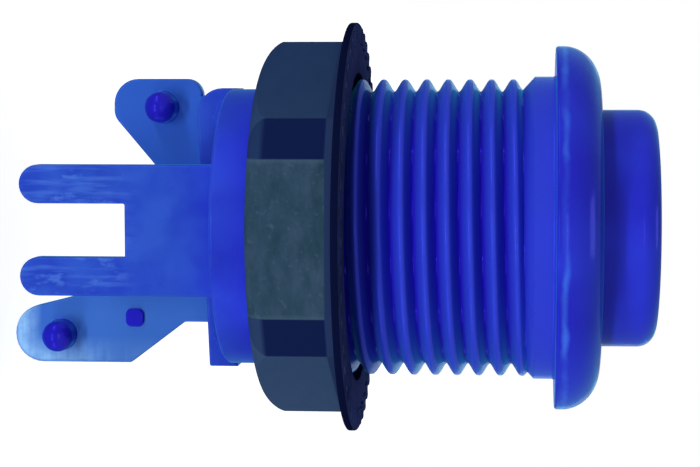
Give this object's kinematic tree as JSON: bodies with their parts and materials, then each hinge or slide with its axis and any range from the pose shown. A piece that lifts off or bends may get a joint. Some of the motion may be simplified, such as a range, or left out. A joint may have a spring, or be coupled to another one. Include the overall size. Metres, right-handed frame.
{
  "type": "push button",
  "caption": "Panel push button with a sprung plunger in a rounded bezel, a threaded barrel, a flanged hexagon nut and an open cradle for a miniature switch.",
  "frame": {"origin": "centre of the bezel's underside, in the plane of the panel's front face", "axes": "+Z along the push axis, out of the panel towards the finger; the stud plate is on the +Y side, the fork on the -Y side, and the far stud is towards +X"},
  "size_m": [0.038, 0.038, 0.062],
  "materials": {
    "blue_plastic": "semi-gloss moulded plastic, slightly translucent",
    "dark_plastic": "satin moulded plastic",
    "spring_steel": "drawn wire"
  },
  "bodies": {
    "housing": {"housing": "blue_plastic", "return_spring": "spring_steel"},
    "plunger": {"plunger": "blue_plastic"},
    "nut": {"panel_nut": "dark_plastic"}
  },
  "joints": [
    {"name": "plunger_press", "type": "slide", "parent": "housing", "child": "plunger", "axis": [0, 0, -1], "range_m": [0, 0.0028], "stiffness_N_per_m": 200, "springref_m": -0.005, "deforming": ["return_spring"]},
    {"name": "nut_turn", "type": "hinge", "parent": "housing", "child": "nut", "pos_m": [0, 0, -0.02245], "axis": [0, 0, 1], "continuous": true}
  ]
}
